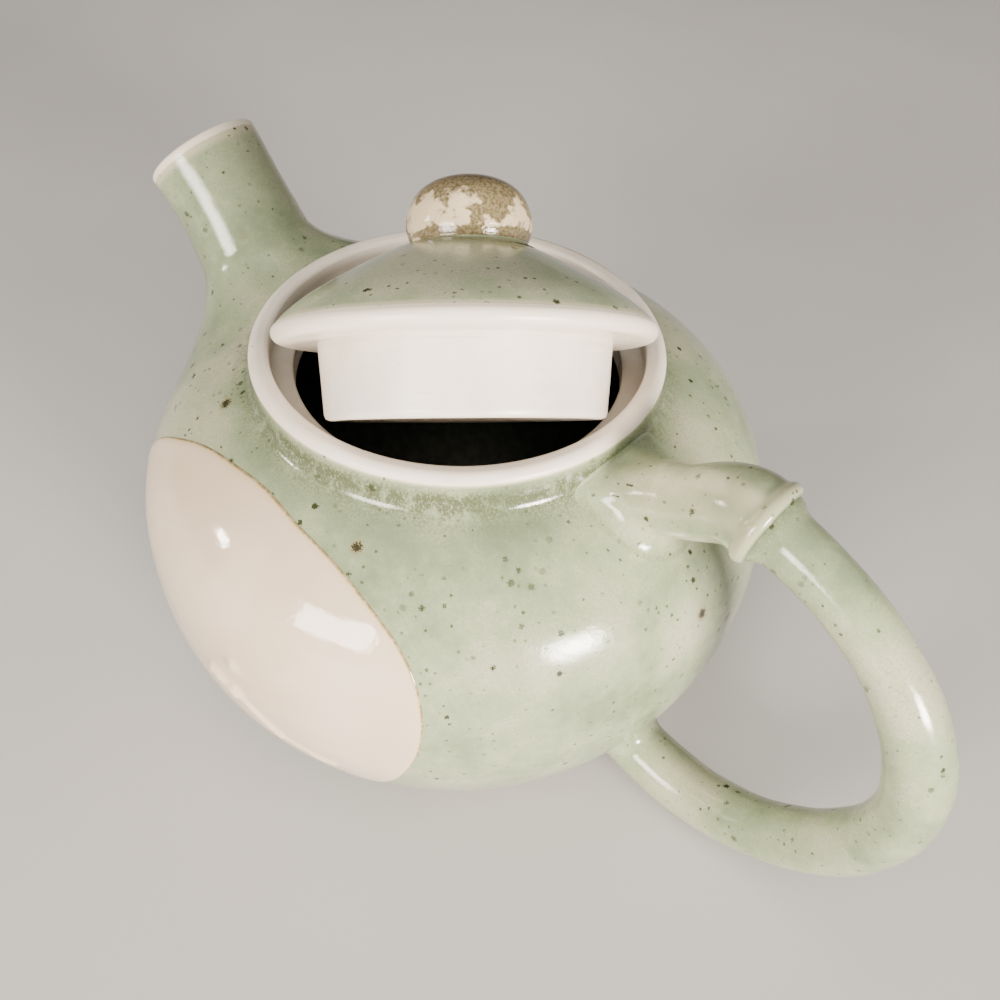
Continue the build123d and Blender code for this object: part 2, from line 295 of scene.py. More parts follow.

# %% [markdown]
# ## White clay, moon glaze, knob glaze, near-black inside and bare foot
# The rim, the ledge and the lid's skirt have only a thin satin skin of clear glaze, so the
# white clay and the fine rings that the fingers left in it show. The ledge and the inner wall
# of the mouth are greyed with painted shade. The moon on the belly is a thick,
# smooth, pinkish cream glaze with a burnt line round it. The knob was dipped in an ash
# glaze that broke to brown over cream. The inside is coloured near-black, and the
# foot is clay with nothing on it. Each is a different mix of the same few steps as above.

# %% Satin white clay
def make_ivory():
    material, tree, shader, where = glaze_tree("white clay under thin satin glaze")
    rings = add(tree, "ShaderNodeMapping", {"Vector": where, "Scale": (0.03, 0.03, 1.3)})
    ringed = add(tree, "ShaderNodeTexNoise", {"Vector": rings, "Scale": 1.0, "Detail": 5.0,
                                              "Roughness": 0.6})
    stain = add(tree, "ShaderNodeTexNoise", {"Vector": where, "Scale": 0.09, "Detail": 4.0})
    fine = add(tree, "ShaderNodeTexNoise", {"Vector": where, "Scale": 1.6, "Detail": 3.0})
    ringed, stain = (ringed, "Fac"), (stain, "Fac")
    pooled_glaze_and_shade = (add(tree, "ShaderNodeAttribute", attribute_name="pooled_glaze_and_shade"), "Fac")
    colour = coat(tree, tint("#f0e6d9"), "#e6dacb", (stain, 0.35, 0.68, 0.0, 1.0))
    colour = coat(tree, colour, "#c6baa9", (ringed, 0.56, 0.72, 0.0, 0.35))
    # painted shade: the grey laid where the rim's outline marks the ledge and the inner wall of
    # the mouth stands for the shade in there
    colour = coat(tree, colour, "#8d877b", pooled_glaze_and_shade, (stain, 0.2, 0.6, 0.7, 1.0))
    inside_grain = grains(tree, where, 4.5, 0.65, 0.3, 2.2)
    colour = coat(tree, colour, "#6f6656", (inside_grain, 0.0, 0.04, 0.0, 0.75))
    ridge = add(tree, "ShaderNodeMath", {0: ringed, 1: 0.05}, operation="MULTIPLY")
    height = add(tree, "ShaderNodeMath", {0: (fine, "Fac"), 1: 0.02, 2: ridge},
                 operation="MULTIPLY_ADD")
    gloss = add(tree, "ShaderNodeMapRange", {"Value": stain, "From Min": 0.3, "From Max": 0.7,
                                             "To Min": 0.26, "To Max": 0.42},
                interpolation_type="SMOOTHSTEP")
    surface(tree, shader, colour, height, gloss)
    return material


ivory = make_ivory()


# %% Moon glaze
def make_moon():
    material, tree, shader, where = glaze_tree("thick cream glaze")
    cloud = add(tree, "ShaderNodeTexNoise", {"Vector": where, "Scale": 0.05, "Detail": 4.0})
    fine = add(tree, "ShaderNodeTexNoise", {"Vector": where, "Scale": 1.1, "Detail": 4.0})
    cloud, fine = (cloud, "Fac"), (fine, "Fac")
    burnt = (add(tree, "ShaderNodeAttribute", attribute_name="burnt"), "Fac")
    uneven = (fine, 0.3, 0.6, 0.45, 1.0)
    inside_grain = grains(tree, where, 7.0, 0.7, 0.3, 8.4)
    colour = coat(tree, tint("#e3cfb6"), "#d8c1a6", (cloud, 0.3, 0.7, 0.0, 1.0))
    colour = coat(tree, colour, "#4b4132", (inside_grain, 0.0, 0.03, 0.0, 0.8))
    colour = coat(tree, colour, "#dcc48c", (burnt, 0.15, 0.5, 0.0, 0.6), uneven)
    colour = coat(tree, colour, "#7c683c", (burnt, 0.6, 0.95, 0.0, 0.85), uneven)
    waves = add(tree, "ShaderNodeMath", {0: cloud, 1: 0.25}, operation="MULTIPLY")
    height = add(tree, "ShaderNodeMath", {0: fine, 1: 0.02, 2: waves}, operation="MULTIPLY_ADD")
    surface(tree, shader, colour, height, 0.07, ior=1.52)
    return material


moon_glaze = make_moon()


# %% Ash glaze of the knob
def make_ash():
    material, tree, shader, where = glaze_tree("ash glaze broken over cream")
    bend = add(tree, "ShaderNodeTexNoise", {"Vector": where, "Scale": 0.45, "Detail": 4.0})
    pushed = add(tree, "ShaderNodeVectorMath", {0: (bend, "Color"), 1: (3.0, 3.0, 3.0), 2: where},
                 operation="MULTIPLY_ADD")
    patch = add(tree, "ShaderNodeTexNoise", {"Vector": (pushed, "Vector"), "Scale": 0.12,
                                             "Detail": 6.0, "Roughness": 0.6})
    pooled_glaze_and_shade = (add(tree, "ShaderNodeAttribute", attribute_name="pooled_glaze_and_shade"), "Fac")
    lean = add(tree, "ShaderNodeMath", {0: pooled_glaze_and_shade, 1: 0.26, 2: (patch, "Fac")},
               operation="MULTIPLY_ADD")
    fine = (add(tree, "ShaderNodeTexNoise", {"Vector": where, "Scale": 1.9, "Detail": 4.0}), "Fac")
    # brown shows where the ash lies thick, and cream where it lies thin
    brown = coat(tree, tint("#62573c"), "#8b7c5e", (fine, 0.35, 0.65, 0.0, 1.0))
    colour = coat(tree, brown, "#d2bf9d", (lean, 0.47, 0.52, 1.0, 0.0))
    height = add(tree, "ShaderNodeMath", {0: fine, 1: 0.05, 2: lean}, operation="MULTIPLY_ADD")
    surface(tree, shader, colour, height, 0.12, ior=1.52, depth=0.3 * MM)
    return material


ash = make_ash()


# %% Near-black inside and bare foot clay
def make_plain(name, light, dark, scale, relief, roughness):
    material, tree, shader, where = glaze_tree(name)
    cloud = add(tree, "ShaderNodeTexNoise", {"Vector": where, "Scale": scale, "Detail": 6.0})
    colour = coat(tree, tint(light), dark, ((cloud, "Fac"), 0.35, 0.65, 0.0, 1.0))
    height = add(tree, "ShaderNodeMath", {0: (cloud, "Fac"), 1: relief}, operation="MULTIPLY")
    surface(tree, shader, colour, height, roughness)
    return material


# the inside of the pot is coloured near-black
near_black_inside = make_plain("near-black inside", "#2b2f28", "#1c1f1b", 0.5, 0.05, 0.3)
bare_clay = make_plain("bare stoneware clay", "#b7a58c", "#8f7d66", 1.4, 0.15, 0.85)

# %% [markdown]
# ## The wheel: a Geometry Nodes tree that turns clay
# Everything that was thrown follows one rule: an outline goes round an axis. The Screw
# modifier or a spin in mesh code would give that shape, but the tree can also put in what
# fingers do, a slight wobble and the rings that climb the wall. It takes a grid whose rows
# are the points of the outline and whose columns go round, and sets each
# point from its row and column. The outline carries three numbers, thin, pooled and
# inside, and the tree copies them onto the clay for the glazes. The pooled number marks
# where glaze gathers on most pieces, but on the rim's ledge and inner wall it is painted shade.

# %% The wheel
def make_wheel():
    tree = bpy.data.node_groups.new("turned clay", "GeometryNodeTree")
    for name, kind in (("Outline", "Geometry"), ("Steps Round", "Int"), ("Wobble", "Float"),
                       ("Ring Height", "Float"), ("Ring Spacing", "Float"), ("Seed", "Float"),
                       ("Outside Glaze", "Material"), ("Inside Glaze", "Material")):
        tree.interface.new_socket(name, in_out="INPUT", socket_type="NodeSocket" + kind)
    tree.interface.new_socket("Clay", in_out="OUTPUT", socket_type="NodeSocketGeometry")
    given = add(tree, "NodeGroupInput")
    outline = (given, "Outline")

    points = add(tree, "GeometryNodeAttributeDomainSize", {"Geometry": outline})
    columns = add(tree, "ShaderNodeMath", {0: (given, "Steps Round"), 1: 1.0}, operation="ADD")
    grid = add(tree, "GeometryNodeMeshGrid", {"Vertices X": (points, "Point Count"),
                                              "Vertices Y": columns})
    index = add(tree, "GeometryNodeInputIndex")
    share = add(tree, "ShaderNodeMath", {0: index, 1: columns}, operation="DIVIDE")
    row = add(tree, "ShaderNodeMath", {0: share}, operation="FLOOR")
    column = add(tree, "ShaderNodeMath", {0: index, 1: columns}, operation="MODULO")
    turn = add(tree, "ShaderNodeMath", {0: column, 1: (given, "Steps Round")}, operation="DIVIDE")
    angle = add(tree, "ShaderNodeMath", {0: turn, 1: math.tau}, operation="MULTIPLY")
    east = add(tree, "ShaderNodeMath", {0: angle}, operation="COSINE")
    north = add(tree, "ShaderNodeMath", {0: angle}, operation="SINE")
    here = add(tree, "GeometryNodeInputPosition")
    at_row = add(tree, "GeometryNodeSampleIndex", {"Geometry": outline, "Value": here,
                                                   "Index": row}, data_type="FLOAT_VECTOR")
    part = add(tree, "ShaderNodeSeparateXYZ", {"Vector": at_row})
    radius, height = (part, "X"), (part, "Z")

    # rings that climb the wall, and a slow wobble, both fading out at the axis
    climb = add(tree, "ShaderNodeMath", {0: turn, 1: (given, "Ring Spacing"), 2: height},
                operation="MULTIPLY_ADD")
    level_of = add(tree, "ShaderNodeMath", {0: height, 1: (given, "Ring Spacing")},
                   operation="DIVIDE")
    ring_place = add(tree, "ShaderNodeCombineXYZ", {"X": east, "Y": north, "Z": level_of})
    ringed = add(tree, "ShaderNodeTexNoise", {"Vector": ring_place, "W": (given, "Seed"),
                                              "Scale": 0.9, "Detail": 1.0},
                 noise_dimensions="4D")
    round_place = add(tree, "ShaderNodeCombineXYZ", {"X": east, "Y": north, "Z": height})
    slow = add(tree, "ShaderNodeTexNoise", {"Vector": round_place, "W": (given, "Seed"),
                                            "Scale": 0.8, "Detail": 0.0}, noise_dimensions="4D")
    ring_part = add(tree, "ShaderNodeMath", {0: (ringed, "Fac"), 1: 0.5}, operation="SUBTRACT")
    slow_part = add(tree, "ShaderNodeMath", {0: (slow, "Fac"), 1: 0.5}, operation="SUBTRACT")
    ring_push = add(tree, "ShaderNodeMath", {0: ring_part, 1: (given, "Ring Height")},
                    operation="MULTIPLY")
    push = add(tree, "ShaderNodeMath", {0: slow_part, 1: (given, "Wobble"), 2: ring_push},
               operation="MULTIPLY_ADD")
    calm = add(tree, "ShaderNodeMapRange", {"Value": radius, "From Min": 0.0, "From Max": 0.006})
    final_radius = add(tree, "ShaderNodeMath", {0: push, 1: calm, 2: radius},
                       operation="MULTIPLY_ADD")
    x = add(tree, "ShaderNodeMath", {0: final_radius, 1: east}, operation="MULTIPLY")
    y = add(tree, "ShaderNodeMath", {0: final_radius, 1: north}, operation="MULTIPLY")
    spot = add(tree, "ShaderNodeCombineXYZ", {"X": x, "Y": y, "Z": height})
    clay = add(tree, "GeometryNodeSetPosition", {"Geometry": grid, "Position": spot})

    for name in ("thin", "pooled_glaze_and_shade", "inside"):
        value = add(tree, "GeometryNodeInputNamedAttribute", {"Name": name}, data_type="FLOAT")
        copied = add(tree, "GeometryNodeSampleIndex", {"Geometry": outline, "Value": value,
                                                       "Index": row}, data_type="FLOAT")
        clay = add(tree, "GeometryNodeStoreNamedAttribute", {"Geometry": clay, "Name": name,
                                                             "Value": copied}, data_type="FLOAT")
    in_mm = add(tree, "ShaderNodeVectorMath", {0: spot, "Scale": 1 / MM}, operation="SCALE")
    clay = add(tree, "GeometryNodeStoreNamedAttribute", {"Geometry": clay, "Name": "wheel_mm",
                                                         "Value": in_mm},
               data_type="FLOAT_VECTOR")
    clay = add(tree, "GeometryNodeMergeByDistance", {"Geometry": clay, "Distance": 1e-6})
    clay = add(tree, "GeometryNodeSetShadeSmooth", {"Geometry": clay})
    clay = add(tree, "GeometryNodeRealizeInstances", {"Geometry": clay})
    clay = add(tree, "GeometryNodeSetMaterial", {"Geometry": clay,
                                                 "Material": (given, "Outside Glaze")})
    is_in = add(tree, "GeometryNodeInputNamedAttribute", {"Name": "inside"}, data_type="FLOAT")
    deep = add(tree, "ShaderNodeMath", {0: is_in, 1: 0.5}, operation="GREATER_THAN")
    clay = add(tree, "GeometryNodeSetMaterial", {"Geometry": clay, "Selection": deep,
                                                 "Material": (given, "Inside Glaze")})
    add(tree, "NodeGroupOutput", {"Clay": clay})
    return tree


wheel = make_wheel()
print("nodes in the wheel", len(wheel.nodes))

# %% [markdown]
# ## Throwing a piece
# An outline is given as runs of points, each run smooth in itself, and is filled to an even
# spacing. It goes with the clay on its right hand, which makes the faces look outwards. The
# wheel turns it, the result is kept as a plain mesh, and the modifier is taken off. A lid piece
# is turned on its own axis and then laid in its place, with its glaze pattern still
# following its own axis, because the wheel stored the coordinates before.

# %% Outlines, throwing and laying in place
def even(points, spacing):
    """The run of (radius, height) points at an even spacing, ends included."""
    points = np.array(points, float)
    along = np.r_[0, np.cumsum(np.hypot(*np.diff(points, axis=0).T))]
    count = max(2, int(round(along[-1] / spacing)) + 1)
    at = np.linspace(0, along[-1], count)
    return np.stack([np.interp(at, along, points[:, 0]), np.interp(at, along, points[:, 1])], 1)


def run_together(*runs):
    """Runs joined end to end, with the points where they meet kept once."""
    rows = [runs[0]]
    for run in runs[1:]:
        meets = np.hypot(*(run[0] - rows[-1][-1])) < 1e-6
        rows.append(run[1:] if meets else run)
    return np.concatenate(rows)


def keep_plain(shown, name, mesh):
    """The mesh as a finished object at the origin, in place of the one with the modifier."""
    bpy.data.objects.remove(shown)
    piece = bpy.data.objects.new(name, mesh)
    bpy.context.scene.collection.objects.link(piece)
    return piece


def throw(name, outline, glaze, inside_glaze=None, numbers=None, wobble=0.0, rings=0.0,
          ring_spacing=3.0, steps_round=288, seed=1.0, laid=None):
    rows = len(outline)
    base = bpy.data.meshes.new(name)
    base.from_pydata([(r * MM, 0, h * MM) for r, h in outline],
                     [(i, i + 1) for i in range(rows - 1)], [])
    for key in ("thin", "pooled_glaze_and_shade", "inside"):
        values = (numbers or {}).get(key, np.zeros(rows))
        base.attributes.new(key, "FLOAT", "POINT").data.foreach_set("value", values.astype("f"))
    shown = bpy.data.objects.new(name + "_on_wheel", base)
    bpy.context.scene.collection.objects.link(shown)
    turning = shown.modifiers.new("turning", "NODES")
    turning.node_group = wheel
    given = {"Steps Round": steps_round, "Wobble": wobble * MM, "Ring Height": rings * MM,
             "Ring Spacing": ring_spacing * MM, "Seed": seed, "Outside Glaze": glaze,
             "Inside Glaze": inside_glaze or glaze}
    for socket in wheel.interface.items_tree:
        if socket.in_out == "INPUT" and socket.name in given:
            turning[socket.identifier] = given[socket.name]
    ready = shown.evaluated_get(bpy.context.evaluated_depsgraph_get())
    mesh = bpy.data.meshes.new_from_object(ready)
    shown.modifiers.remove(turning)
    piece = keep_plain(shown, name, mesh)
    mesh.set_sharp_from_angle(angle=math.radians(50))
    if laid is not None:
        mesh.transform(laid)
    print(name, len(mesh.vertices), "points,", len(mesh.polygons), "faces, volume cm3",
          round(enclosed(mesh) * 1e6, 1))
    return piece


def enclosed(mesh):
    """Volume inside a closed mesh; it is negative if the faces look inwards."""
    mesh.calc_loop_triangles()
    at = np.empty(len(mesh.vertices) * 3)
    mesh.vertices.foreach_get("co", at)
    corners = np.empty(len(mesh.loop_triangles) * 3, int)
    mesh.loop_triangles.foreach_get("vertices", corners)
    a, b, c = at.reshape(-1, 3)[corners.reshape(-1, 3)].transpose(1, 0, 2)
    return float(np.einsum("ij,ij->i", a, np.cross(b, c)).sum() / 6)


# %% [markdown]
# ## The pot
# The belly is one thrown wall with a hollow inside. Its outline starts in the middle of the
# floor inside, climbs the inner wall, turns over under the rim, and comes down outside over
# the collar, the shoulder and the bowl. The glaze pools in the crease at the foot of the
# collar and runs off the rim, and the outline's numbers say so.

# %% Outline of the pot
def hermite(start, start_way, end, end_way, shares):
    """Curve between two points that leaves and arrives in the given ways."""
    t = np.asarray(shares)[:, None]
    start, end, start_way, end_way = map(np.asarray, (start, end, start_way, end_way))
    return ((2 * t ** 3 - 3 * t ** 2 + 1) * start + (t ** 3 - 2 * t ** 2 + t) * start_way
            + (3 * t ** 2 - 2 * t ** 3) * end + (t ** 3 - t ** 2) * end_way)


def wall(low, high, thickness=0.0, count=200):
    heights = np.linspace(low, high, count)
    return np.stack([pot_radius(heights, thickness), heights], 1)


crown_middle = np.array([gallery_bore + rim_wall / 2, rim_height - rim_wall / 2])
glaze_edge = math.radians(30)


def crown(low_angle, high_angle):
    angles = np.linspace(low_angle, high_angle, 40)
    return crown_middle + rim_wall / 2 * np.stack([np.cos(angles), np.sin(angles)], 1)


seam = crown(glaze_edge, glaze_edge)[0]
shoulder_slope = float(pot_radius(collar_base - 0.5) - pot_radius(collar_base + 0.5))
flare_span = math.hypot(collar_foot_radius - collar_radius, flare_rise)
flare_end = np.array([shoulder_slope, -1]) / math.hypot(shoulder_slope, 1) * flare_span * 1.1
flare = hermite((collar_radius, collar_base + flare_rise), (0, -flare_span * 1.1),
                (collar_foot_radius, collar_base), flare_end, np.linspace(0, 1, 40))

floor_inside = foot_height + floor_thickness
inside_top = collar_base - 0.15
hidden_under_rim = [(32.6, 86.5), (34, 87.6), (36.8, 88.2), (37.4, 90.2), (38.6, 91.4)]
wiped_from, wiped_over = 90.6, 0.8      # the glaze thins out over this height
crease_height, crease_below, crease_above = 88.4, 2.7, 1.7      # where and how far it pools
pot_outline = run_together(
    even([(0, floor_inside), (pot_radius(floor_inside, belly_wall), floor_inside)], 2.0),
    even(wall(floor_inside, inside_top, belly_wall), 1.6),
    even([(pot_radius(inside_top, belly_wall), inside_top), *hidden_under_rim, seam], 1.0),
    even(crown(glaze_edge, 0), 0.35),
    even([(collar_radius, rim_height - rim_wall / 2), (collar_radius, collar_base + flare_rise)],
         0.4),
    even(flare, 0.4),
    even(wall(collar_base, foot_height), 0.85),
    even([(pot_radius(foot_height), foot_height), (0, foot_height)], 2.0))

radius, height = pot_outline.T
outer = np.zeros(len(radius), bool)
outer[int(np.argmin(np.hypot(radius - seam[0], height - seam[1]))):] = True
pot_numbers = {
    "thin": np.where(outer, np.clip((height - wiped_from) / wiped_over, 0, 1), 0),
    "pooled_glaze_and_shade": np.where(outer, 1.5 * np.exp(
        -(np.clip(crease_height - height, 0, 9) / crease_below) ** 2
        - (np.clip(height - crease_height, 0, 9) / crease_above) ** 2), 0),
    "inside": np.where(outer, 0.0, 1.0)}
pot_wall = throw("pot_wall", pot_outline, celadon, near_black_inside, pot_numbers, wobble=0.5, rings=0.10,
                 ring_spacing=5.0, seed=4.0)

# %% [markdown]
# ## A rim that isn't quite level
# The rim of a thrown pot is hardly ever level. This one climbs towards the front. The same
# small lift is given to the top of the wall and to the rim, so that they still meet.

# %% Lift of the rim
rim_lift, rim_lift_way = 2.4, np.array([0.663, -0.749])


def lift_rim(piece, low, high):
    """Raises the clay above a height in mm towards the front; the lift grows smoothly."""
    mesh = piece.data
    at = np.empty(len(mesh.vertices) * 3)
    mesh.vertices.foreach_get("co", at)
    at = at.reshape(-1, 3)
    grown = np.clip((at[:, 2] / MM - low) / (high - low), 0, 1)
    front = 0.5 + 0.5 * (at[:, :2] @ rim_lift_way) / (collar_radius * MM)
    at[:, 2] += np.clip(front, 0, 1.1) * rim_lift * MM * grown * grown * (3 - 2 * grown)
    mesh.vertices.foreach_set("co", at.ravel())
    mesh.update()


lift_rim(pot_wall, collar_base, rim_height - 1.4)

# %% [markdown]
# ## Rim, ledge and foot
# The rim was trimmed while the pot was still on the wheel: a rounded top, an upright inner
# wall and a flat ledge that the lid sits on. The foot ring was turned from the thick base.

# %% Rim and foot
rim_foot = 84.3
rim_outline = run_together(
    even([(ledge_bore, rim_foot), (ledge_bore, ledge_height - 0.4)], 0.6),
    even([(ledge_bore, ledge_height - 0.4), (ledge_bore + 0.12, ledge_height - 0.12),
          (ledge_bore + 0.4, ledge_height)], 0.15),
    even([(ledge_bore + 0.4, ledge_height), (gallery_bore - 0.5, ledge_height)], 0.6),
    even([(gallery_bore - 0.5, ledge_height), (gallery_bore - 0.13, ledge_height + 0.13),
          (gallery_bore, ledge_height + 0.5)], 0.15),
    even([(gallery_bore, ledge_height + 0.5), (gallery_bore, rim_height - rim_wall / 2)], 0.25),
    even([(gallery_bore, rim_height - rim_wall / 2), (gallery_bore + 0.05, rim_height - 0.75),
          (gallery_bore + 0.3, rim_height - 0.35), (gallery_bore + 0.8, rim_height - 0.1),
          (crown_middle[0], rim_height)], 0.15),
    even(crown(math.pi / 2, glaze_edge), 0.3),
    even([seam, (38.4, 90.4), (34.4, 86.4), (33.2, 84.5), (ledge_bore, rim_foot)], 1.2))
radius, height = rim_outline.T
# Painted shade: the ledge and inner wall of the mouth are greyed, more the lower they lie, to
# stand for the shade inside the mouth. The number rides in the same attribute that marks gathered
# glaze on the other pieces.
in_mouth = (radius < crown_middle[0]) & (height > ledge_height - 1)
ledge_painted_shade = 0.75 * np.clip((rim_height - 1.0 - height) / 1.6, 0, 1)
rim_numbers = {"pooled_glaze_and_shade": np.where(in_mouth, ledge_painted_shade, 0)}
gallery_rim = throw("gallery_rim", rim_outline, ivory, None, rim_numbers, wobble=0.5, rings=0.10,
                    ring_spacing=5.0, seed=4.0)
lift_rim(gallery_rim, ledge_height + 0.1, rim_height - 1.4)

inner = foot_radius - foot_width
foot_outline = run_together(
    even([(inner, 1.3), (inner, foot_height + 0.4)], 0.8),
    even([(inner, foot_height + 0.4), (foot_radius, foot_height + 0.4)], 1.5),
    even([(foot_radius, foot_height + 0.4), (foot_radius, 1.3)], 0.8),
    even([(foot_radius, 1.3), (foot_radius - 0.38, 0.38), (foot_radius - 1.3, 0)], 0.3),
    even([(foot_radius - 1.3, 0), (inner + 1.3, 0)], 1.0),
    even([(inner + 1.3, 0), (inner + 0.38, 0.38), (inner, 1.3)], 0.3))
foot = throw("turned_foot", foot_outline, bare_clay, wobble=0.1, rings=0.1, seed=2.0)

# %% [markdown]
# ## The lid
# The lid is a shallow dome with a deep skirt that keeps it in the mouth, and a ball knob. It
# was turned upside down, apart from the pot, and it lies tipped now, with its skirt caught on
# the ledge. Its pieces are thrown on their own axis, and one matrix lays all of them in place.

# %% How the lid lies
lid_tip, lid_tip_heading, lid_slip_heading = map(math.radians, (43.6, 135.7, 139.9))
lid_rise, lid_wedge_gap = 13.65, 1.2
plate_radius, lid_edge, dome_rise, dome_fullness = gallery_bore - 2.0, 3.0, 17.0, 1.5
dome_margin, dome_wall, skirt_depth, skirt_wall, skirt_taper = 0.5, 4.5, 13.4, 3.0, 1.0
skirt_radius = ledge_bore - 5.7
knob_radius, knob_base_radius, knob_bulge, knob_rise, knob_fullness = 11.2, 10.4, 3.0, 9.2, 2.3
knob_offset = 0.9

below = (lid_rise - skirt_depth * math.cos(lid_tip)) / math.sin(lid_tip)
to_chord = math.sqrt((ledge_bore - lid_wedge_gap) ** 2
                     - ((skirt_radius - skirt_taper) ** 2 - below ** 2))
slip = to_chord - skirt_depth * math.sin(lid_tip) + below * math.cos(lid_tip)
lid_axis = Vector((math.sin(lid_tip) * math.cos(lid_tip_heading),
                   math.sin(lid_tip) * math.sin(lid_tip_heading), math.cos(lid_tip)))
lid_side = Vector((-math.sin(lid_tip_heading), math.cos(lid_tip_heading), 0))
lid_place = Matrix((lid_side, lid_axis.cross(lid_side), lid_axis)).transposed().to_4x4()
lid_place.translation = Vector((-slip * math.cos(lid_slip_heading),
                                -slip * math.sin(lid_slip_heading), ledge_height + lid_rise)) * MM
print("lid lies at", [round(c / MM, 1) for c in lid_place.translation])


def dome_height(at_radius):
    """Height of the dome over the plate's underside; its shoulder sagged a little in the fire."""
    share = np.clip(at_radius / 26.0, 0, 1)
    sag = 2.3 * share * share * (3 - 2 * share)
    return lid_edge + swell(at_radius, dome_rise, plate_radius + dome_margin, dome_fullness) - sag


# %% Lid dome, skirt and knob
def dome_run(low, high, down=0.0, shift=0.0):
    radii = np.linspace(low, high, 120)
    return np.stack([radii, dome_height(radii + shift) - down], 1)


def arc(start, through, end, count=30):
    """Arc through three points."""
    (ax, ay), (bx, by), (cx, cy) = start, through, end
    lines = np.array([[bx - ax, by - ay], [cx - bx, cy - by]])
    middle = np.linalg.solve(lines, [(bx ** 2 - ax ** 2 + by ** 2 - ay ** 2) / 2,
                                     (cx ** 2 - bx ** 2 + cy ** 2 - by ** 2) / 2])
    first, last = (math.atan2(*(np.array(p) - middle)[::-1]) for p in (start, end))
    turns = np.linspace(first, last, count)
    return middle + math.dist(start, middle) * np.stack([np.cos(turns), np.sin(turns)], 1)


edge_start = plate_radius - lid_edge / 4
edge_turn = arc((edge_start, float(dome_height(edge_start))), (plate_radius, lid_edge / 2),
                (plate_radius - lid_edge / 2, 0))
under_radius = skirt_radius - skirt_wall
dome_outline = run_together(
    even(dome_run(0.0, edge_start), 0.7),
    even(edge_turn, 0.3),
    even([(plate_radius - lid_edge / 2, 0), (under_radius, 0)], 0.8),
    even([(under_radius, 0),
          (under_radius, dome_height(under_radius + dome_wall / 2) - dome_wall)], 1.0),
    even(dome_run(under_radius, 0.0, dome_wall, dome_wall / 2), 1.2))
radius, height = dome_outline.T
top_side = np.arange(len(radius)) < int(np.argmax(radius))
dome_numbers = {
    "thin": np.where(top_side, np.clip((4.3 - height) / 1.3, 0, 1), 1.0),
    "pooled_glaze_and_shade": np.where(top_side, 0.8 * np.exp(-((radius - 12.0) / 1.8) ** 2), 0),
    "inside": np.where(top_side | (radius > skirt_radius - 0.5), 0.0, 1.0)}
lid_dome = throw("lid_dome", dome_outline, celadon, ivory, dome_numbers, wobble=0.35, rings=0.12,
                 ring_spacing=4.0, seed=9.0, laid=lid_place)

skirt_end, skirt_inner = skirt_radius - skirt_taper, skirt_radius - skirt_wall
skirt_outline = run_together(
    even([(skirt_inner - skirt_taper, -skirt_depth + 1), (skirt_inner, 0.4)], 0.6),
    even([(skirt_inner, 0.4), (skirt_radius, 0.4)], 1.0),
    even([(skirt_radius, 0.4), (skirt_end, -skirt_depth + 1)], 0.35),
    even([(skirt_end, -skirt_depth + 1), (skirt_end - 0.28, -skirt_depth + 0.28),
          (skirt_end - 1, -skirt_depth)], 0.25),
    even([(skirt_end - 1, -skirt_depth), (skirt_inner - skirt_taper + 1, -skirt_depth)], 0.5),
    even([(skirt_inner - skirt_taper + 1, -skirt_depth),
          (skirt_inner - skirt_taper + 0.28, -skirt_depth + 0.28),
          (skirt_inner - skirt_taper, -skirt_depth + 1)], 0.25))
lid_skirt = throw("lid_skirt_ring", skirt_outline, ivory, wobble=0.3, rings=0.14,
                  ring_spacing=2.6, seed=3.0, laid=lid_place)

knob_foot = float(dome_height(knob_base_radius))
knob_middle = knob_foot + knob_bulge
rise = knob_rise * np.sin(np.linspace(math.pi / 2, 0, 120))
knob_crown = np.stack([swell(rise, knob_radius, knob_rise, knob_fullness), knob_middle + rise], 1)
cheek = hermite((knob_radius, knob_middle), (0, -knob_bulge),
                (knob_base_radius, knob_foot + 0.2), (-0.6, -knob_bulge * 0.6),
                np.linspace(0, 1, 20))
neck = hermite((knob_base_radius, knob_foot + 0.2), (0, -0.8),
               (knob_base_radius + 1.3, knob_foot - 0.75), (1.2, -0.5), np.linspace(0, 1, 12))
knob_outline = run_together(even(knob_crown, 0.35), even(cheek, 0.3), even(neck, 0.25),
                            even([neck[-1], (0, knob_foot - 1.2)], 1.0))
radius, height = knob_outline.T
# the wheel's second glaze goes where "inside" is 1, and here that is the neck, in celadon
on_neck = (height < knob_foot + 0.3).astype(float)
knob_numbers = {"pooled_glaze_and_shade": (np.clip((height - knob_middle - 5.0) / 4.0, 0, 1) * 0.5
                           + 0.8 * np.exp(-((height - knob_foot - 0.9) / 0.7) ** 2)),
                "inside": on_neck}
knob_place = lid_place @ Matrix.Translation((-knob_offset * MM, 0, 0))
lid_knob = throw("ball_knob", knob_outline, ash, celadon, knob_numbers, wobble=0.5, rings=0.10,
                 ring_spacing=3.0, seed=6.0, steps_round=192, laid=knob_place)

# %% [markdown]
# ## Limbs that grow out of the pot
# The spout and the handle were made apart and then luted on, and the potter smoothed slip
# over the joint with a wet finger. So a limb doesn't just stick into the belly: its surface
# sweeps out and lies down on the pot. A limb is made as rings along a line. The rings of its
# root run on bent curves from a free ring down to an oval drawn on the belly. A search tree of
# the wall's faces lays that oval on the thrown wall, so the root follows its wobble as well.

# %% Limb helpers
def faces_of(piece):
    mesh = piece.data
    return BVHTree.FromPolygons([v.co / MM for v in mesh.vertices],
                                [tuple(p.vertices) for p in mesh.polygons])


pot_faces = faces_of(pot_wall)
outer_radii, outer_heights = pot_outline[outer][::-1].T


def lie_on(tree, point, proud=0.0):
    """Nearest point on the faces, moved out by a height, and the outward way there."""
    at, way, _, _ = tree.find_nearest(Vector(point))
    return np.array(at) + np.array(way) * proud, np.array(way)


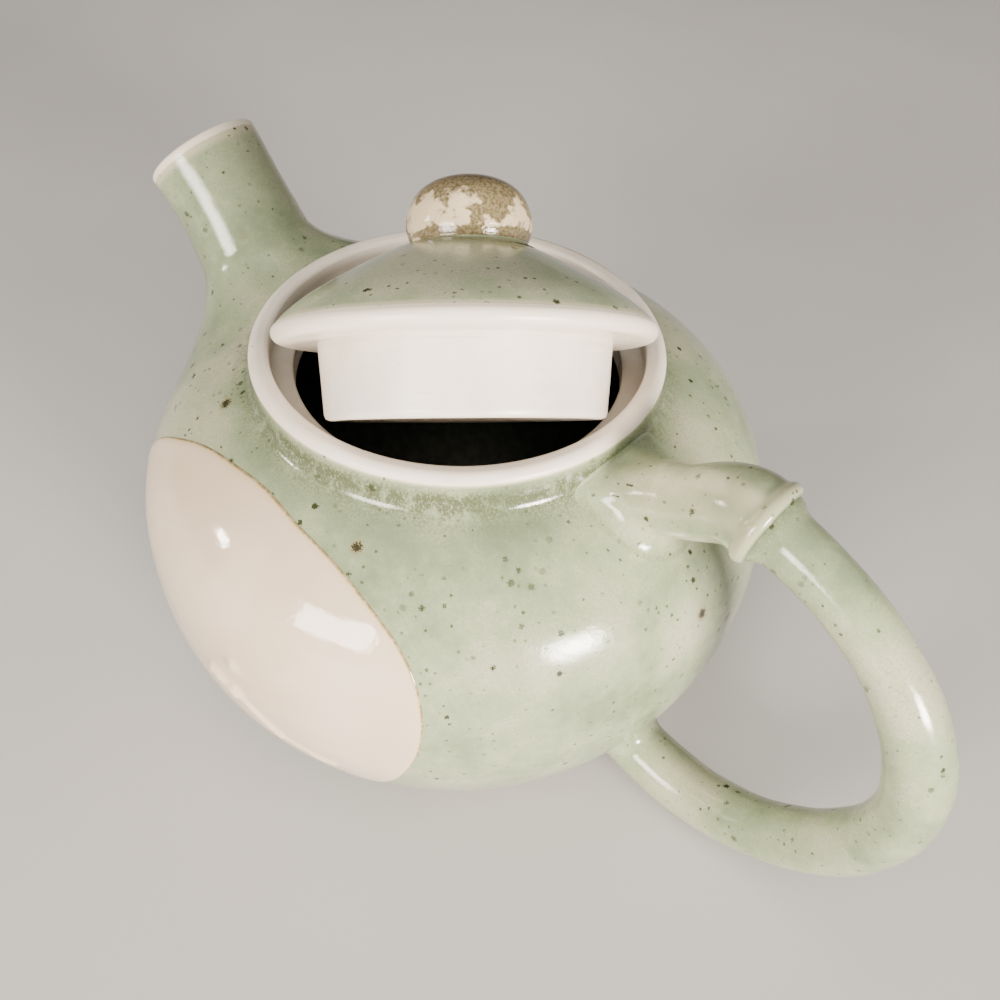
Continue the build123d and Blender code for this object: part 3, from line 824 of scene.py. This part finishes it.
def smooth_line(points, start_way, end_way, count):
    """Clamped cubic spline through points in the XZ plane: places and ways along it."""
    points = np.array(points, float)
    steps = np.hypot(*np.diff(points, axis=0).T)
    knots = np.r_[0, np.cumsum(steps)]
    size = len(points)
    lines, sums = np.eye(size), np.zeros((size, 2))
    sums[0], sums[-1] = start_way, end_way
    for i in range(1, size - 1):
        before, after = steps[i - 1], steps[i]
        lines[i, i - 1:i + 2] = after, 2 * (before + after), before
        sums[i] = 3 * (after * (points[i] - points[i - 1]) / before
                       + before * (points[i + 1] - points[i]) / after)
    ways = np.linalg.solve(lines, sums)
    at = np.linspace(0, knots[-1], count)
    span = np.clip(np.searchsorted(knots, at, "right") - 1, 0, size - 2)
    t, h = ((at - knots[span]) / steps[span])[:, None], steps[span][:, None]
    a, b, wa, wb = points[span], points[span + 1], ways[span] * h, ways[span + 1] * h
    places = ((2 * t ** 3 - 3 * t ** 2 + 1) * a + (t ** 3 - 2 * t ** 2 + t) * wa
              + (3 * t ** 2 - 2 * t ** 3) * b + (t ** 3 - t ** 2) * wb)
    heads = np.gradient(places, axis=0)
    return places, heads / np.hypot(*heads.T)[:, None]


def in_space(pair):
    """The (x, z) pair as a way in space."""
    return np.array([pair[0], 0, pair[1]])


def taper(shares, stations, sizes, blur):
    """Sizes along a limb, given at stations and softened over a number of steps on each side."""
    padded = np.pad(np.interp(shares, stations, sizes), blur, "edge")
    return np.convolve(padded, np.ones(2 * blur + 1) / (2 * blur + 1), "valid")


def ring(middle, head, width, depth, steps_round):
    """Oval ring of points round a line in the XZ plane. Its first point is on the +Y side."""
    turn = np.arange(steps_round) / steps_round * math.tau
    side, over_way = np.array([0, 1, 0]), np.array([-head[1], 0, head[0]])
    return (in_space(middle) + np.outer(np.cos(turn) * width, side)
            + np.outer(np.sin(turn) * depth, over_way))


def footprint(azimuth, middle, half_width, top, bottom, steps_round, head):
    """Function of a size share: an oval on the wall, given by heights and a half width.

    Its points go round the same way as those of a ring whose line has the given head."""
    turn = np.arange(steps_round) / steps_round * math.tau
    climb = np.sin(turn) * math.copysign(1, head[0])
    tall = np.where(climb > 0, top - middle, middle - bottom)

    def oval(share):
        heights = middle + tall * climb * share
        radii = np.interp(heights, outer_heights, outer_radii)
        across = math.copysign(1, math.cos(azimuth)) * np.cos(turn) * half_width * share
        angles = azimuth + across / radii
        return np.stack([radii * np.cos(angles), radii * np.sin(angles), heights], 1)
    return oval


def root_rings(first, way, oval, count, sink=0.5, leave=1.0, arrive=1.0):
    """Rings that sweep from the first free ring down onto an oval of the pot."""
    landings = np.array([lie_on(pot_faces, point, 0.02)[0] for point in oval(1.0)])
    rests = oval(1.04) - oval(0.96)
    rests /= np.linalg.norm(rests, axis=1)[:, None]
    far = np.linalg.norm(landings - first, axis=1)[:, None]
    rings = []
    for share in np.linspace(0, 1, count + 1)[1:]:
        lifted = []
        for point in hermite(first, way * far * leave, landings, rests * far * arrive,
                             [share] * len(first)):
            at, normal = lie_on(pot_faces, point)
            short = 0.03 * (1 - share) + 0.02 - (point - at) @ normal
            lifted.append(point + normal * max(0, short))
        rings.append(np.array(lifted))
    sunk = np.array([lie_on(pot_faces, point, -sink)[0] for point in rings[-1]])
    return rings, sunk


def skin(name, rings, glaze, numbers, closed_loop=False):
    """Closed mesh over rings; the ends are capped unless the last ring joins the first."""
    steps_round, rows = len(rings[0]), len(rings)
    points = np.concatenate(rings)
    values = {key: np.concatenate(value) for key, value in numbers.items()}
    faces = []
    for row in range(rows if closed_loop else rows - 1):
        following = (row + 1) % rows
        for column in range(steps_round):
            beside = (column + 1) % steps_round
            faces.append((row * steps_round + column, row * steps_round + beside,
                          following * steps_round + beside, following * steps_round + column))
    if not closed_loop:
        for row, turned in ((0, True), (rows - 1, False)):
            middle = len(points)
            points = np.vstack([points, rings[row].mean(0)])
            values = {key: np.r_[value, value[row * steps_round]] for key, value in values.items()}
            for column in range(steps_round):
                pair = [row * steps_round + column, row * steps_round + (column + 1) % steps_round]
                faces.append((middle, *(reversed(pair) if turned else pair)))
    mesh = bpy.data.meshes.new(name)
    mesh.from_pydata((points * MM).tolist(), [], faces)
    if enclosed(mesh) < 0:
        mesh.flip_normals()
    mesh.attributes.new("wheel_mm", "FLOAT_VECTOR", "POINT").data.foreach_set(
        "vector", points.astype("f").ravel())
    for key, value in values.items():
        mesh.attributes.new(key, "FLOAT", "POINT").data.foreach_set("value", value.astype("f"))
    mesh.materials.append(glaze)
    mesh.polygons.foreach_set("use_smooth", [True] * len(mesh.polygons))
    mesh.set_sharp_from_angle(angle=math.radians(50))
    piece = bpy.data.objects.new(name, mesh)
    bpy.context.scene.collection.objects.link(piece)
    print(name, len(mesh.vertices), "points, volume cm3", round(enclosed(mesh) * 1e6, 2))
    return piece


def same(rings, value):
    return [np.full(len(one), value) for one in rings]


# %% [markdown]
# ## Spout
# The spout is a thrown cone, cut at a slant and luted over the strainer holes. It is wide
# where it sits on the belly and round at the lip, where the glaze was wiped off.

# %% Spout
spout_root_angle, spout_tip_angle = math.radians(62), math.radians(42)
spout_root = (15.0 - belly_radius, belly_height + 8.0)
spout_tip = (-belly_radius - 14.0, rim_height + 7.2)
spout_neck, spout_lip, spout_wall, spout_bore = 12.2, 12.6, 3.6, 9.0
spout_stations, spout_rounds, spout_steps = (0, 0.25, 0.5, 0.78, 1), 160, 101
spout_free, bore_from, spout_wiped = 58, 34, 94      # steps where each of these begins
line, heads = smooth_line([spout_root, spout_tip],
                          (-math.cos(spout_root_angle), math.sin(spout_root_angle)),
                          (-math.cos(spout_tip_angle), math.sin(spout_tip_angle)), spout_steps)
shares = np.linspace(0, 1, spout_steps)
width = taper(shares, spout_stations, (27, 19.6, 13.2, spout_neck, spout_lip), 8)
depth = np.interp(shares, spout_stations, (14, 13.1, 12.5, spout_neck, spout_lip))
outer_rings = [ring(line[i], heads[i], width[i], depth[i], spout_rounds)
               for i in range(spout_free, spout_steps)]
bore = [ring(line[i], heads[i], min(width[i] - spout_wall, spout_bore),
             min(depth[i] - spout_wall, spout_bore), spout_rounds)
        for i in range(bore_from, spout_steps, 2)]
oval = footprint(math.pi, middle=70.0, half_width=38.0, top=88.6, bottom=52.0,
                 steps_round=spout_rounds, head=heads[spout_free])
blend, sunk = root_rings(outer_rings[0], -in_space(heads[spout_free]), oval, 38,
                         leave=0.75, arrive=0.75)
lip = []
middle, head = line[-1], heads[-1]
for angle in np.linspace(0, math.pi, 15)[1:-1]:
    size = spout_lip - spout_wall / 2 + spout_wall / 2 * math.cos(angle)
    rise = head * spout_wall / 2 * math.sin(angle) * 0.6
    lip.append(ring(middle + rise, head, size, size, spout_rounds))
rings = [sunk] + blend[::-1] + outer_rings + lip + bore[::-1]
to_lip = same([sunk] + blend, 0.0)
to_lip += [np.full(spout_rounds, float(np.clip((i - spout_wiped) / 6, 0, 1)))
           for i in range(spout_free, spout_steps)]
to_lip += same(lip + bore, 1.0)
creased = same([sunk] + blend, 0.15) + same(outer_rings + lip + bore, 0.0)
spout = skin("spout_on_belly", rings, celadon, {"thin": to_lip, "pooled_glaze_and_shade": creased},
             closed_loop=True)

# %% [markdown]
# ## Handle
# The handle is in two lengths. A thick stub springs from the collar and ends in a rolled
# lip, and a thinner pulled loop comes out of that lip, bows out and runs back into the bowl.
# The glaze breaks to cream on the stub and pools green in the crease where the loop begins.

# %% Handle stub
stub_rounds, stub_steps, stub_free, stub_blends = 128, 81, 46, 22
lip_dip, lip_radius, lip_roll = math.radians(12), 8.2, 1.6
face_way = np.array([math.cos(lip_dip), -math.sin(lip_dip)])
face_middle = np.array([belly_radius + 6.5, rim_height + 2.0])
roll_back = face_middle - face_way * 2 * lip_roll
stub_height = rim_height - 4.8
stub_root = (collar_foot_radius - 14.4, stub_height - 7.2)
waist = ((collar_foot_radius + roll_back[0]) / 2, stub_height + lip_roll)
climb = math.radians(31)
line, heads = smooth_line([stub_root, waist, roll_back], (math.cos(climb), math.sin(climb)),
                          tuple(face_way), stub_steps)
thick = taper(np.linspace(0, 1, stub_steps), (0, 0.3, 0.6, 0.85, 1), (8.7, 7.3, 6.5, 6.9, 7.5), 6)
stub = [ring(line[i], heads[i], thick[i], thick[i], stub_rounds)
        for i in range(stub_free, stub_steps)]
oval = footprint(0.0, middle=85.5, half_width=11.5, top=90.2, bottom=76.5,
                 steps_round=stub_rounds, head=heads[stub_free])
blend, sunk = root_rings(stub[0], -in_space(heads[stub_free]), oval, stub_blends)
lip = []
for angle in np.linspace(-0.9, math.pi / 2 + 0.5, 16):
    size = lip_radius - lip_roll + lip_roll * math.cos(angle)
    middle = roll_back + face_way * (lip_roll + lip_roll * math.sin(angle))
    lip.append(ring(middle, face_way, size, size, stub_rounds))
lip.append(ring(face_middle - face_way * 0.9, face_way, 5.0, 5.0, stub_rounds))
rings = [sunk] + blend[::-1] + stub + lip
thin = same([sunk], 0.0) + [np.full(stub_rounds, 0.2 * (1 - i / stub_blends))
                            for i in range(stub_blends, 0, -1)]
along_stub = np.arange(stub_rounds) / stub_rounds * math.tau
streaky = 0.20 + 0.10 * np.sin(along_stub * 3 + 1) + 0.07 * np.sin(along_stub * 7)
thin += [streaky] * len(stub) + same(lip[:10], 0.3) + same(lip[10:], 0.0)
pooled_glaze_and_shade = [np.full(stub_rounds, 0.3)] * 5 + same(rings[5:23], 0.05) + same(stub + lip[:11], 0.0)
pooled_glaze_and_shade += same(lip[11:], 0.8)
handle_stub = skin("handle_stub_rolled", rings, celadon, {"thin": thin, "pooled_glaze_and_shade": pooled_glaze_and_shade})

# %% Handle loop
loop_rounds, loop_steps, loop_free = 112, 241, 216
bow = np.array([belly_radius + 45.0, belly_height + 3.0])
bend_in = math.radians(24)
low = (belly_radius + 7.2, 9.4)
loop_root = (float(pot_radius(np.array(14.0))) - 7.6, 16.0)
line, heads = smooth_line([tuple(face_middle), (bow[0] - 14.2, bow[1] + 28), tuple(bow),
                           (bow[0] - 9.5, 26.4), low, loop_root], tuple(face_way),
                          (-math.cos(bend_in), math.sin(bend_in)), loop_steps)
shares = np.linspace(0, 1, loop_steps)
thick = taper(shares, (0, 0.15, 0.35, 0.45, 0.6, 0.9, 1), (5.2, 5.4, 6.1, 6.1, 6.3, 6.3, 7.6), 10)
thick += 0.10 * np.sin(shares * 23 + 1) + 0.05 * np.sin(shares * 61)
thick += 1.5 * np.exp(-(shares / 0.012) ** 2)
loop = [ring(line[i], heads[i], thick[i], thick[i], loop_rounds) for i in range(loop_free)]
last_head = heads[loop_free - 1]
oval = footprint(0.0, middle=15.5, half_width=10.5, top=23.5, bottom=8.0,
                 steps_round=loop_rounds, head=last_head)
blend, sunk = root_rings(loop[-1], in_space(last_head), oval, 18)
start = ring(face_middle - face_way * 2.0, face_way, 4.9, 4.9, loop_rounds)
rings = [start] + loop + blend + [sunk]
streak = np.clip(np.sin(np.arange(loop_rounds) / loop_rounds * math.tau + 2.4), 0, 1) * 0.16
thin = [streak * (0.5 + 0.5 * math.sin(i / 26)) for i in range(len(rings))]
pooled_glaze_and_shade = [np.full(loop_rounds, 0.7 * math.exp(-(i / 7) ** 2) + 0.3 * (i > loop_free + 14))
          for i in range(len(rings))]
handle_loop = skin("handle_loop_pulled", rings, celadon, {"thin": thin, "pooled_glaze_and_shade": pooled_glaze_and_shade})

# %% [markdown]
# ## The moon on the belly
# One side of the pot was dipped into a second, thicker glaze. The edge of a dip is where a
# flat plane cuts the round belly, so it is a near-perfect circle on the pot. The layer
# stands about a third of a millimetre proud, with a rounded edge, and it ran and lumped
# on its lower side. It is a closed sheet: a polar grid laid on the wall and lifted off it.

# %% Moon glaze sheet
dip_way = np.array([-0.035, -0.995, 0.086])
dip_way /= np.linalg.norm(dip_way)
dip_depth, moon_rounds, moon_rows = 53.45, 240, 90
dip_middle = np.array([-2.1, -49.7, 45.5])
dip_middle += dip_way * (dip_depth - dip_middle @ dip_way)
dip_side = np.cross(dip_way, (0, 0, 1))
dip_side /= np.linalg.norm(dip_side)
dip_up = np.cross(dip_side, dip_way)


def outside_pot(point):
    return math.hypot(point[0], point[1]) > float(pot_radius(np.array(point[2])))


def dip_reach(turn):
    """Distance from the middle of the dip to where its plane leaves the belly."""
    near, far = 10.0, 60.0
    ray = math.cos(turn) * dip_side + math.sin(turn) * dip_up
    for _ in range(24):
        half = (near + far) / 2
        near, far = (near, half) if outside_pot(dip_middle + ray * half) else (half, far)
    return near


def sheet_point(turn, share, reach):
    """Where the sheet's grid meets the wall, looking at it along the dip."""
    ray = math.cos(turn) * dip_side + math.sin(turn) * dip_up
    start = dip_middle + ray * reach * share + dip_way * 30
    at, way, _, _ = pot_faces.ray_cast(Vector(start), Vector(-dip_way))
    return np.array(at), np.array(way)


moon_layers, moon_burnt = [], []
turns = np.arange(moon_rounds) / moon_rounds * math.tau
reaches = np.array([dip_reach(turn) - 0.1 for turn in turns])
reaches += 0.25 * np.sin(turns * 5 + 1) + 0.08 * np.sin(turns * 13)
shares = 1 - (1 - np.linspace(0.012, 1, moon_rows)) ** 1.6
sheet_thickness, sheet_edge, bead_height, bead_width = 0.32, 0.9, 0.10, 2.2
# runs of glaze in mm: start, end, breadth and how high each stands
runs = [((-0.4, -65.0, 50.8), (5.5, -64.7, 49.0), 1.0, 1.1),
        ((5.5, -64.7, 49.0), (14.9, -62.1, 40.0), 0.7, 0.75),
        ((14.9, -62.1, 40.0), (24.5, -58.0, 35.9), 0.6, 0.5),
        ((5.9, -64.4, 57.5), (6.2, -64.5, 56.5), 1.4, 0.6),
        ((5.2, -64.8, 49.4), (6.2, -64.6, 48.4), 1.2, 1.3),
        ((20.0, -58.5, 44.0), (27.0, -56.5, 42.5), 2.0, 0.2)]


def run_height(point):
    """Height in mm of the drips and lumps that the glaze left at a point."""
    total = 0.0
    for start, end, breadth, tall in runs:
        start, end = np.array(start), np.array(end)
        share = np.clip((point - start) @ (end - start) / ((end - start) @ (end - start)), 0, 1)
        off = np.linalg.norm(point - start - (end - start) * share)
        total = max(total, tall * math.exp(-(off / breadth) ** 2))
    return total


for share in shares:
    layer, burnt = [], []
    for turn, reach in zip(turns, reaches):
        at, way = sheet_point(turn, share, reach)
        inset = (1 - share) * reach
        rounded = math.sqrt(max(0, 1 - (1 - min(1, inset / sheet_edge)) ** 2))
        bead = math.exp(-(inset / bead_width) ** 2) * min(1, inset)
        swollen = sheet_thickness * rounded + bead_height * bead
        layer.append(at + way * (swollen + run_height(at) + 0.02))
        burnt.append(math.exp(-(inset / 0.55) ** 2))
    moon_layers.append(np.array(layer))
    moon_burnt.append(np.array(burnt))
under = []
for layer in moon_layers[::-6]:
    under.append(np.array([lie_on(pot_faces, point, -0.5)[0] for point in layer]))
moon = skin("moon_glaze_sheet", moon_layers + under, moon_glaze,
            {"burnt": moon_burnt + same(under, 1.0)})

# %% [markdown]
# ## Riding on the measured bodies
# Each piece moves with the pot or with the lid and stands in for the measured piece that it
# shows. The table also lists a material slot for each piece, which nothing here uses.

# %% Riding
for piece, body, nodes, slot in (
        (pot_wall, "pot", ["pot_body"], "celadon_glaze"),
        (gallery_rim, "pot", ["gallery_collar"], "ivory_glaze"),
        (foot, "pot", ["foot_ring"], "bare_clay"),
        (spout, "pot", ["spout"], "celadon_glaze"),
        (handle_stub, "pot", ["handle_stub"], "celadon_glaze"),
        (handle_loop, "pot", ["handle_loop"], "celadon_glaze"),
        (moon, "pot", [], "ivory_glaze"),
        (lid_dome, "lid", ["lid_plate"], "celadon_glaze"),
        (lid_skirt, "lid", ["lid_skirt"], "ivory_glaze"),
        (lid_knob, "lid", ["lid_knob"], "knob_glaze")):
    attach(piece, body)
    if nodes:
        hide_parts(*nodes)

# %% [markdown]
# ## Floor and light
# A plain pale floor, and soft boxes like the windows and ceiling of a room. A glossy round
# pot is a mirror of what stands round it, so each soft box is placed where the belly,
# the moon or the collar would show it as a highlight.

# %% Floor
def make_floor():
    material = bpy.data.materials.new("matt paper floor")
    material.use_nodes = True
    tree = material.node_tree
    shader = tree.nodes["Principled BSDF"]
    spot = add(tree, "ShaderNodeTexCoord")
    cloud = add(tree, "ShaderNodeTexNoise", {"Vector": (spot, "Object"), "Scale": 6.0,
                                             "Detail": 4.0})
    colour = coat(tree, tint("#c3c1c0"), "#bcbaba", ((cloud, "Fac"), 0.3, 0.7, 0.0, 1.0))
    tree.links.new(next(s for s in colour.outputs if s.enabled), shader.inputs["Base Color"])
    shader.inputs["Roughness"].default_value = 0.9
    return material


floor_mesh = bpy.data.meshes.new("floor")
floor_mesh.from_pydata([(-3, -3, 0), (3, -3, 0), (3, 3, 0), (-3, 3, 0)], [], [(0, 1, 2, 3)])
floor_mesh.materials.append(make_floor())
floor = bpy.data.objects.new("floor", floor_mesh)
bpy.context.scene.collection.objects.link(floor)


# %% Soft boxes
def soft_box(name, azimuth, elevation, distance, wide, tall, watts, warmth="#fff6ea"):
    """An area light that faces the pot from a direction, at a distance in metres."""
    turn, lift = math.radians(azimuth), math.radians(elevation)
    way = Vector((math.sin(turn) * math.cos(lift), -math.cos(turn) * math.cos(lift),
                  math.sin(lift)))
    light = bpy.data.lights.new(name, "AREA")
    light.shape, light.size, light.size_y = "RECTANGLE", wide, tall
    light.energy, light.color = watts, tint(warmth)[:3]
    box = bpy.data.objects.new(name, light)
    bpy.context.scene.collection.objects.link(box)
    box.location = Vector((0, 0, 0.06)) + way * distance
    box.rotation_mode = "QUATERNION"
    box.rotation_quaternion = way.to_track_quat("Z", "Y")
    return box


soft_box("window_beside_handle", 80, 7, 1.2, 0.30, 0.26, 42)
soft_box("window_before_moon", 5, 16, 1.2, 0.48, 0.36, 22)
soft_box("small_window", -42, 17, 1.3, 0.12, 0.10, 4)
soft_box("ceiling", -60, 80, 1.4, 0.7, 0.5, 2.5)
wide_fill = soft_box("wide_fill", 45, 60, 1.3, 1.0, 0.8, 13)
wide_fill.visible_glossy = False

world = bpy.data.worlds.new("room")
bpy.context.scene.world = world
world.use_nodes = True
world.node_tree.nodes["Background"].inputs["Color"].default_value = tint("#dfe2e6")
world.node_tree.nodes["Background"].inputs["Strength"].default_value = 0.14
